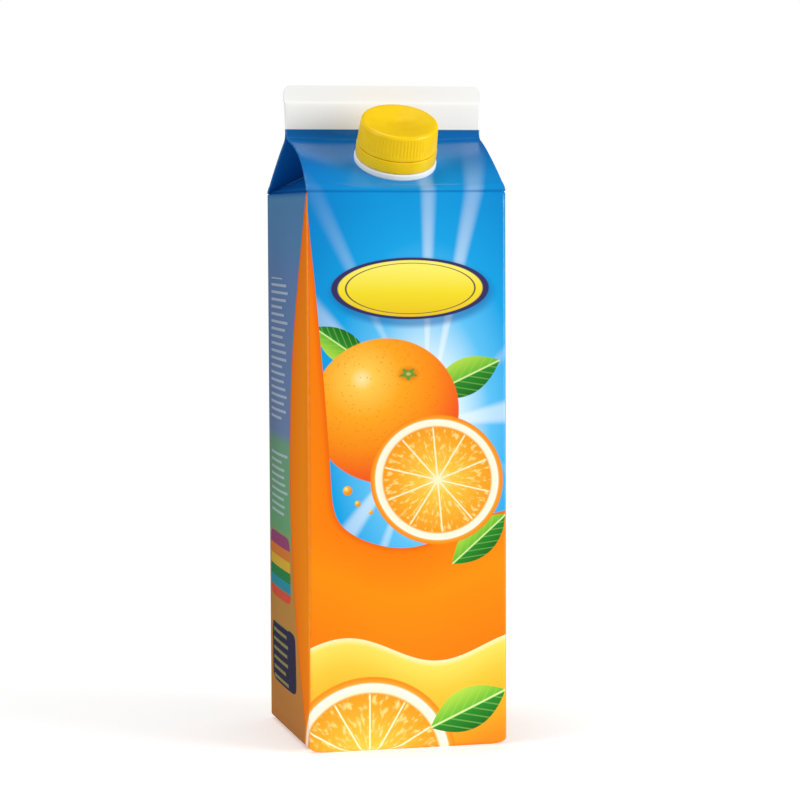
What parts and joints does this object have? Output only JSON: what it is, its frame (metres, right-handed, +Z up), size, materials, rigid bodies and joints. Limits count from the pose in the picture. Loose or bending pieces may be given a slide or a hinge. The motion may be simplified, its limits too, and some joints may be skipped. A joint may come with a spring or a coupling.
{
  "type": "juice carton",
  "caption": "Shut gable-top drink carton of square section with a sealed roof fin and a round screw cap on a spout in its front roof panel.",
  "frame": {"origin": "middle of the base, on the plane that the carton stands on", "axes": "+Z up through the middle of the fin, -Y out of the front panel that carries the cap above it, +X to the right seen from the front"},
  "size_m": [0.0732, 0.0732, 0.2289],
  "materials": {
    "printed_board": "satin",
    "white_plastic": "satin",
    "yellow_plastic": "satin"
  },
  "bodies": {
    "root": {"carton": "printed_board", "spout": "white_plastic", "tamper_band": "yellow_plastic", "cap": "yellow_plastic"}
  },
  "joints": []
}
